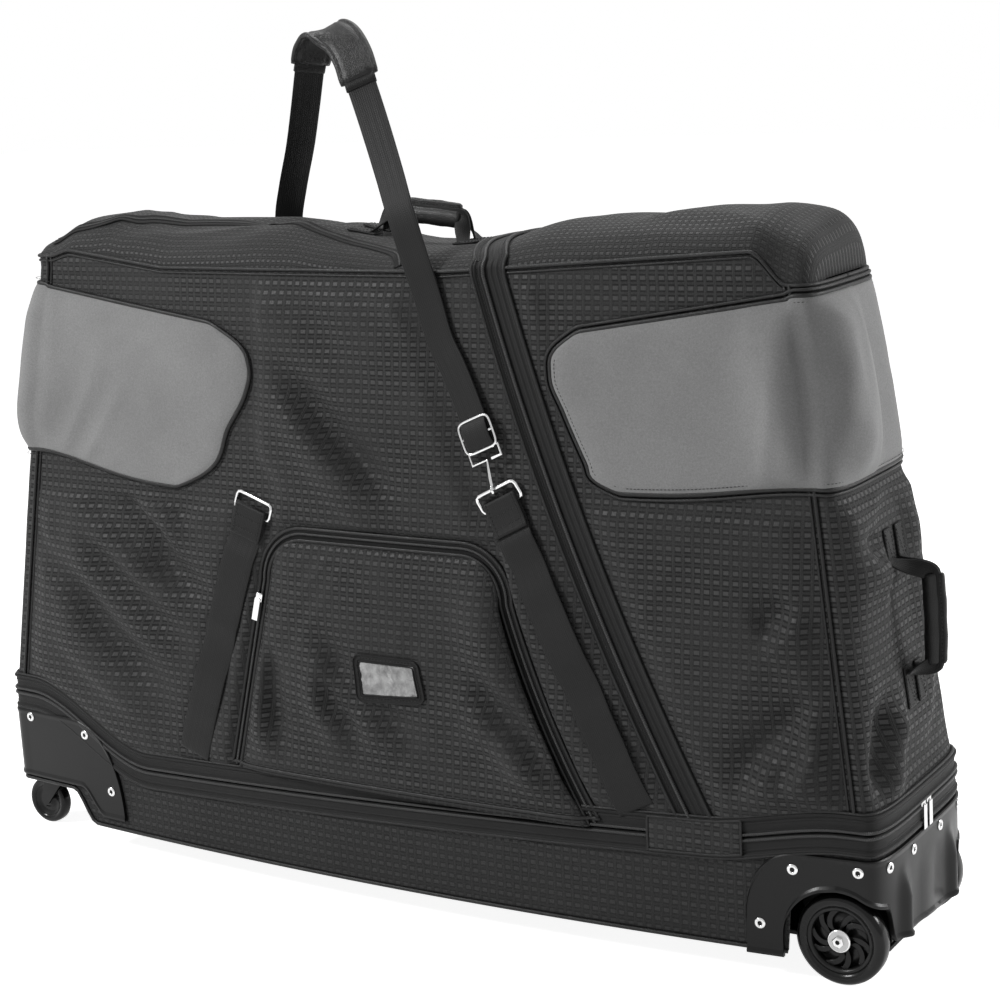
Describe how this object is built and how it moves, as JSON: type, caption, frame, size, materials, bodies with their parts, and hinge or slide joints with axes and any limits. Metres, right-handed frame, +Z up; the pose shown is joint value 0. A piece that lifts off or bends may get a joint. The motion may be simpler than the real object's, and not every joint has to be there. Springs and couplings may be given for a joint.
{
  "type": "soft bike travel bag",
  "caption": "Padded travel bag for a bicycle on a rolling base, with zipped cover, pocket, handles and shoulder strap.",
  "frame": {"origin": "middle of the bag's footprint, on the floor", "axes": "+Z up, +X from the caster end to the end with the large wheels, front pocket towards -Y"},
  "size_m": [1.3691, 0.3394, 1.1179],
  "materials": {
    "jacquard_fabric": "black polyester with a woven small-square grid",
    "zip_tape": "black coil zip on woven tape",
    "webbing": "black ribbed webbing",
    "grey_pad": "padded grey fabric",
    "moulded_plastic": "satin black moulding",
    "tyre": "smooth black",
    "chrome": "bright plated",
    "steel": "zinc plated",
    "aluminium": "satin anodised",
    "leatherette": "black grained leatherette"
  },
  "bodies": {
    "rolling_base": {"base_board": "moulded_plastic", "base_front_wall": "jacquard_fabric", "base_back_wall": "jacquard_fabric", "base_zip_tape": "zip_tape", "caster_end_guard": "moulded_plastic", "wheel_end_guard": "moulded_plastic", "rear_axle": "steel", "caster_plate_near": "steel", "caster_plate_far": "steel", "frame_rail": "aluminium", "fork_mount": "aluminium", "bottom_bracket_cradle": "moulded_plastic"},
    "cover": {"front_panel": "jacquard_fabric", "front_hood_panel": "jacquard_fabric", "back_panel": "jacquard_fabric", "back_hood_panel": "jacquard_fabric", "top_panel": "jacquard_fabric", "hood_top_panel": "jacquard_fabric", "caster_end_panel": "jacquard_fabric", "wheel_end_panel": "jacquard_fabric", "diagonal_zip": "zip_tape", "caster_end_bumper": "grey_pad", "wheel_end_bumper": "grey_pad", "front_pocket": "jacquard_fabric", "pocket_zip": "zip_tape", "webbing_front_left": "webbing", "webbing_front_right": "webbing", "webbing_back_left": "webbing", "webbing_back_right": "webbing", "ring_front_right": "chrome", "ring_back_left": "chrome", "strap_front": "webbing", "shoulder_pad": "leatherette", "strap_back": "webbing", "snap_hook_front": "chrome", "snap_hook_back": "chrome"},
    "strap_adjuster_slide": {"strap_adjuster": "chrome"},
    "ring_front_left_body": {"ring_front_left": "chrome"},
    "ring_back_right_body": {"ring_back_right": "chrome"},
    "top_handle": {"top_handle_webbing": "webbing", "top_handle_grip": "leatherette"},
    "wheel_end_handle": {"wheel_end_handle_webbing": "webbing", "wheel_end_handle_grip": "leatherette"},
    "caster_end_handle": {"caster_end_handle_webbing": "webbing", "caster_end_handle_grip": "leatherette"},
    "pocket_slider": {"pocket_zip_slider": "chrome"},
    "pocket_pull": {"pocket_zip_pull": "chrome"},
    "rear_mount_carriage": {"rear_mount": "aluminium"},
    "rear_wheel_near": {"rear_hub_near": "moulded_plastic", "rear_tyre_near": "tyre"},
    "caster_swivel_near": {"caster_fork_near": "steel"},
    "caster_roller_near": {"caster_wheel_near": "tyre"},
    "base_zip_near_slider_body": {"base_zip_near_slider": "chrome"},
    "base_zip_near_pull_body": {"base_zip_near_pull": "chrome"},
    "rear_wheel_far": {"rear_hub_far": "moulded_plastic", "rear_tyre_far": "tyre"},
    "caster_swivel_far": {"caster_fork_far": "steel"},
    "caster_roller_far": {"caster_wheel_far": "tyre"},
    "base_zip_far_slider_body": {"base_zip_far_slider": "chrome"},
    "base_zip_far_pull_body": {"base_zip_far_pull": "chrome"}
  },
  "joints": [
    {"name": "cover_lift", "type": "slide", "parent": "rolling_base", "child": "cover", "axis": [0, 0, 1], "range_m": [0, 0.75]},
    {"name": "rear_wheel_near_spin", "type": "hinge", "parent": "rolling_base", "child": "rear_wheel_near", "pos_m": [0.606, -0.119, 0.055], "axis": [0, 1, 0], "continuous": true},
    {"name": "caster_near_swivel", "type": "hinge", "parent": "rolling_base", "child": "caster_swivel_near", "pos_m": [-0.621, -0.089, 0.0817], "axis": [0, 0, 1], "continuous": true},
    {"name": "caster_near_roll", "type": "hinge", "parent": "caster_swivel_near", "child": "caster_roller_near", "pos_m": [-0.645, -0.089, 0.0335], "axis": [0, 1, 0], "continuous": true},
    {"name": "base_zip_near_slide", "type": "slide", "parent": "rolling_base", "child": "base_zip_near_slider_body", "axis": [0, 1, 0], "range_m": [-0.06, 0]},
    {"name": "base_zip_near_pull_hinge", "type": "hinge", "parent": "base_zip_near_slider_body", "child": "base_zip_near_pull_body", "pos_m": [0.6652, -0.0085, 0.18811], "axis": [0, -1, 0], "range_deg": [0, 150]},
    {"name": "rear_wheel_far_spin", "type": "hinge", "parent": "rolling_base", "child": "rear_wheel_far", "pos_m": [0.606, 0.119, 0.055], "axis": [0, 1, 0], "continuous": true},
    {"name": "caster_far_swivel", "type": "hinge", "parent": "rolling_base", "child": "caster_swivel_far", "pos_m": [-0.621, 0.089, 0.0817], "axis": [0, 0, 1], "continuous": true},
    {"name": "caster_far_roll", "type": "hinge", "parent": "caster_swivel_far", "child": "caster_roller_far", "pos_m": [-0.645, 0.089, 0.0335], "axis": [0, 1, 0], "continuous": true},
    {"name": "base_zip_far_slide", "type": "slide", "parent": "rolling_base", "child": "base_zip_far_slider_body", "axis": [0, 1, 0], "range_m": [0, 0.06]},
    {"name": "base_zip_far_pull_hinge", "type": "hinge", "parent": "base_zip_far_slider_body", "child": "base_zip_far_pull_body", "pos_m": [0.6652, 0.0085, 0.18811], "axis": [0, -1, 0], "range_deg": [0, 150]},
    {"name": "pocket_zip_slide", "type": "slide", "parent": "cover", "child": "pocket_slider", "axis": [0.2133, 0.0791, 0.9738], "range_m": [-0.18, 0]},
    {"name": "pocket_pull_hinge", "type": "hinge", "parent": "pocket_slider", "child": "pocket_pull", "pos_m": [-0.18178, -0.15059, 0.39445], "axis": [-0.9769, 0.029, 0.2116], "range_deg": [0, 150]},
    {"name": "adjuster_slide", "type": "slide", "parent": "cover", "child": "strap_adjuster_slide", "axis": [-0.4191, 0.1081, 0.9015], "range_m": [0, 0.03]},
    {"name": "ring_front_left_hinge", "type": "hinge", "parent": "cover", "child": "ring_front_left_body", "pos_m": [-0.19453, -0.13333, 0.50086], "axis": [0.9493, -0.0535, -0.3097], "range_deg": [0, 120]},
    {"name": "ring_back_right_hinge", "type": "hinge", "parent": "cover", "child": "ring_back_right_body", "pos_m": [0.18802, 0.13078, 0.53748], "axis": [-0.8929, 0.0637, -0.4457], "range_deg": [0, 120]},
    {"name": "top_handle_flop", "type": "hinge", "parent": "cover", "child": "top_handle", "pos_m": [0.01213, 0, 0.84579], "axis": [0.9973, 0, -0.073], "range_deg": [-50, 50], "deforming": ["top_handle_webbing"]},
    {"name": "wheel_end_handle_flop", "type": "hinge", "parent": "cover", "child": "wheel_end_handle", "pos_m": [0.63235, 0.02, 0.40524], "axis": [-0.1352, 0, 0.9908], "range_deg": [-50, 50], "deforming": ["wheel_end_handle_webbing"]},
    {"name": "caster_end_handle_flop", "type": "hinge", "parent": "cover", "child": "caster_end_handle", "pos_m": [-0.63457, -0.02, 0.40525], "axis": [0.1405, 0, 0.9901], "range_deg": [-50, 50], "deforming": ["caster_end_handle_webbing"]},
    {"name": "rear_mount_slide", "type": "slide", "parent": "rolling_base", "child": "rear_mount_carriage", "axis": [1, 0, 0], "range_m": [-0.06, 0.06]}
  ]
}
